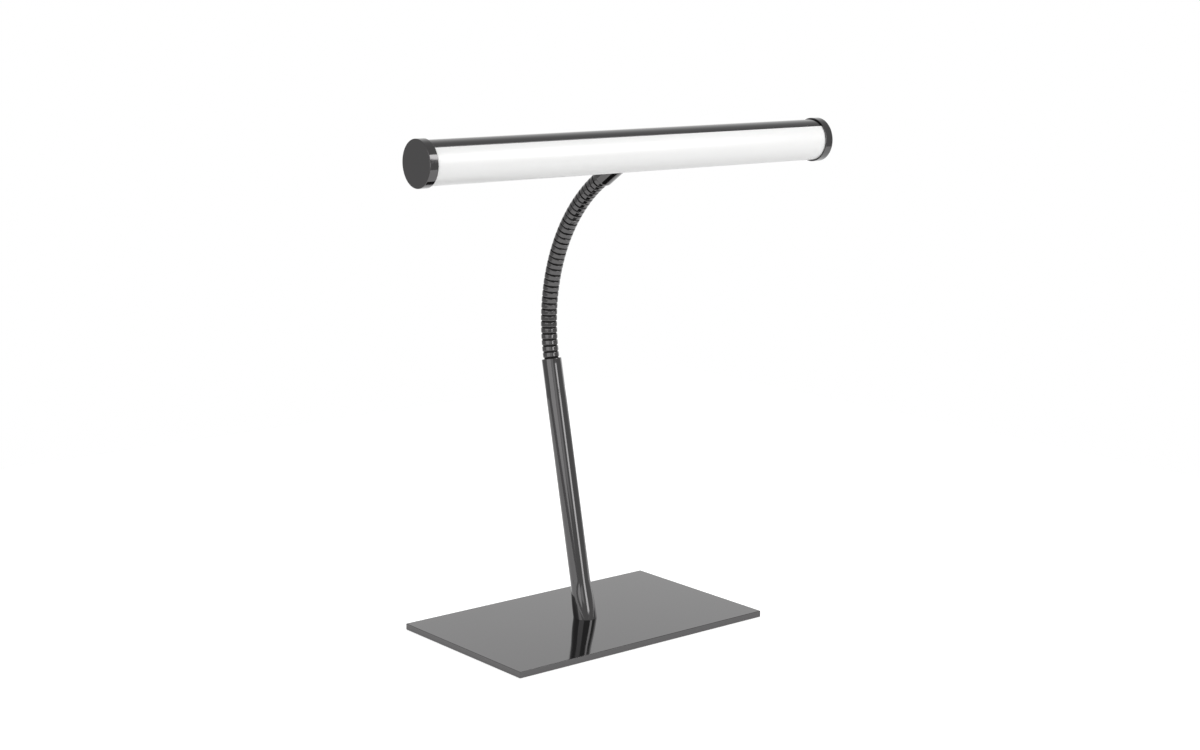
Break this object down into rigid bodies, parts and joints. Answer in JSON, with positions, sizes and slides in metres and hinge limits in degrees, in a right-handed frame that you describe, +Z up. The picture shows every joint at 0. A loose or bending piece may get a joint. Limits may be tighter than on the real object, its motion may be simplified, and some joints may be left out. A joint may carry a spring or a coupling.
{
  "type": "piano lamp",
  "caption": "Low-voltage piano lamp: flat rectangular foot, leaning round stem, bendable ribbed gooseneck and a long tubular LED head with an opal cover.",
  "frame": {"origin": "centre of the foot's underside, on the surface the lamp stands on", "axes": "+X along the head, towards the cap with the push button; +Y to the side the stem leans to, away from the light; +Z up"},
  "size_m": [0.385, 0.15, 0.3949],
  "materials": {
    "foot_metal": "polished black chrome",
    "stem_metal": "polished black chrome",
    "neck_metal": "polished black chrome",
    "ferrule_metal": "polished black chrome",
    "cap_metal": "black chrome plated",
    "housing_metal": "black chrome plated",
    "carrier_metal": "mill finish",
    "turned_steel": "zinc plated",
    "screw_steel": "blackened",
    "can_metal": "satin",
    "felt": "needled felt",
    "rubber": "matt",
    "opal_plastic": "opal, smooth",
    "connector_plastic": "moulded",
    "lead_jacket": "matt",
    "tape": "matt",
    "board_white": "solder resist",
    "led_yellow": "silicone",
    "board_green": "solder resist",
    "spacer_plastic": "nylon",
    "coil_black": "moulded",
    "wire_red": "smooth",
    "button_plastic": "smooth"
  },
  "bodies": {
    "foot": {"base_felt": "felt", "base_plate": "foot_metal", "base_screw": "screw_steel", "stem_plug": "turned_steel", "stem_tube": "stem_metal", "cord_grommet": "rubber", "neck_tail": "turned_steel", "lead_connector": "connector_plastic", "stem_lead": "lead_jacket", "neck_lead": "lead_jacket"},
    "link_01": {"neck_link_01": "neck_metal"},
    "link_02": {"neck_link_02": "neck_metal"},
    "link_03": {"neck_link_03": "neck_metal"},
    "link_04": {"neck_link_04": "neck_metal"},
    "link_05": {"neck_link_05": "neck_metal"},
    "link_06": {"neck_link_06": "neck_metal"},
    "link_07": {"neck_link_07": "neck_metal"},
    "link_08": {"neck_link_08": "neck_metal"},
    "link_09": {"neck_link_09": "neck_metal"},
    "link_10": {"neck_link_10": "neck_metal"},
    "link_11": {"neck_link_11": "neck_metal"},
    "link_12": {"neck_link_12": "neck_metal"},
    "link_13": {"neck_link_13": "neck_metal"},
    "link_14": {"neck_link_14": "neck_metal"},
    "link_15": {"neck_link_15": "neck_metal"},
    "link_16": {"neck_link_16": "neck_metal"},
    "link_17": {"neck_link_17": "neck_metal"},
    "head": {"neck_ferrule": "ferrule_metal", "saddle_washer": "turned_steel", "ferrule_nut": "turned_steel", "head_housing": "housing_metal", "opal_cover": "opal_plastic", "cap_left": "cap_metal", "cap_right": "cap_metal", "led_carrier": "carrier_metal", "board_tape": "tape", "led_board": "board_white", "leds": "led_yellow", "driver_board": "board_green", "driver_spacers": "spacer_plastic", "driver_terminal": "connector_plastic", "driver_coil": "coil_black", "driver_capacitor": "can_metal", "driver_chip": "coil_black", "head_lead": "lead_jacket", "lead_clip": "spacer_plastic", "led_wires": "wire_red", "switch_wires": "wire_red", "switch_body": "coil_black"},
    "button": {"switch_button": "button_plastic"}
  },
  "joints": [
    {"name": "neck_bend", "type": "hinge", "parent": "foot", "child": "link_01", "pos_m": [0, 0.04245, 0.20871], "axis": [1, 0, 0], "range_deg": [-11, 4.5], "deforming": ["neck_lead"]},
    {"name": "neck_sway", "type": "hinge", "parent": "link_01", "child": "link_02", "pos_m": [0, 0.04412, 0.21837], "axis": [0, 0.9909, -0.1344], "range_deg": [-5, 5], "deforming": ["neck_lead"]},
    {"name": "neck_bend_02", "type": "hinge", "parent": "link_02", "child": "link_03", "pos_m": [0, 0.04509, 0.22812], "axis": [1, 0, 0], "range_deg": [-11, 4.5], "deforming": ["neck_lead"]},
    {"name": "neck_sway_02", "type": "hinge", "parent": "link_03", "child": "link_04", "pos_m": [0, 0.04536, 0.23792], "axis": [0, 1, 0.0075], "range_deg": [-5, 5], "deforming": ["neck_lead"]},
    {"name": "neck_bend_03", "type": "hinge", "parent": "link_04", "child": "link_05", "pos_m": [0, 0.04494, 0.24771], "axis": [1, 0, 0], "range_deg": [-11, 4.5], "deforming": ["neck_lead"]},
    {"name": "neck_sway_03", "type": "hinge", "parent": "link_05", "child": "link_06", "pos_m": [0, 0.04382, 0.25745], "axis": [0, 0.9888, 0.1492], "range_deg": [-5, 5], "deforming": ["neck_lead"]},
    {"name": "neck_bend_04", "type": "hinge", "parent": "link_06", "child": "link_07", "pos_m": [0, 0.04202, 0.26708], "axis": [1, 0, 0], "range_deg": [-11, 4.5], "deforming": ["neck_lead"]},
    {"name": "neck_sway_04", "type": "hinge", "parent": "link_07", "child": "link_08", "pos_m": [0, 0.03953, 0.27656], "axis": [0, 0.9576, 0.288], "range_deg": [-5, 5], "deforming": ["neck_lead"]},
    {"name": "neck_bend_05", "type": "hinge", "parent": "link_08", "child": "link_09", "pos_m": [0, 0.03638, 0.28584], "axis": [1, 0, 0], "range_deg": [-11, 4.5], "deforming": ["neck_lead"]},
    {"name": "neck_sway_05", "type": "hinge", "parent": "link_09", "child": "link_10", "pos_m": [0, 0.03257, 0.29487], "axis": [0, 0.9071, 0.4209], "range_deg": [-5, 5], "deforming": ["neck_lead"]},
    {"name": "neck_bend_06", "type": "hinge", "parent": "link_10", "child": "link_11", "pos_m": [0, 0.02813, 0.30361], "axis": [1, 0, 0], "range_deg": [-11, 4.5], "deforming": ["neck_lead"]},
    {"name": "neck_sway_06", "type": "hinge", "parent": "link_11", "child": "link_12", "pos_m": [0, 0.02308, 0.312], "axis": [0, 0.8383, 0.5452], "range_deg": [-5, 5], "deforming": ["neck_lead"]},
    {"name": "neck_bend_07", "type": "hinge", "parent": "link_12", "child": "link_13", "pos_m": [0, 0.01745, 0.32002], "axis": [1, 0, 0], "range_deg": [-11, 4.5], "deforming": ["neck_lead"]},
    {"name": "neck_sway_07", "type": "hinge", "parent": "link_13", "child": "link_14", "pos_m": [0, 0.01126, 0.32762], "axis": [0, 0.7525, 0.6586], "range_deg": [-5, 5], "deforming": ["neck_lead"]},
    {"name": "neck_bend_08", "type": "hinge", "parent": "link_14", "child": "link_15", "pos_m": [0, 0.00455, 0.33476], "axis": [1, 0, 0], "range_deg": [-11, 4.5], "deforming": ["neck_lead"]},
    {"name": "neck_sway_08", "type": "hinge", "parent": "link_15", "child": "link_16", "pos_m": [0, -0.00265, 0.34141], "axis": [0, 0.6515, 0.7587], "range_deg": [-5, 5], "deforming": ["neck_lead"]},
    {"name": "neck_bend_09", "type": "hinge", "parent": "link_16", "child": "link_17", "pos_m": [0, -0.01031, 0.34752], "axis": [1, 0, 0], "range_deg": [-11, 4.5], "deforming": ["neck_lead"]},
    {"name": "neck_sway_09", "type": "hinge", "parent": "link_17", "child": "head", "pos_m": [0, -0.01838, 0.35308], "axis": [0, 0.5373, 0.8434], "range_deg": [-5, 5], "deforming": ["neck_lead"]},
    {"name": "switch_press", "type": "slide", "parent": "head", "child": "button", "axis": [-1, 0, 0], "range_m": [0, 0.0015], "stiffness_N_per_m": 800, "springref_m": -0.0008}
  ]
}
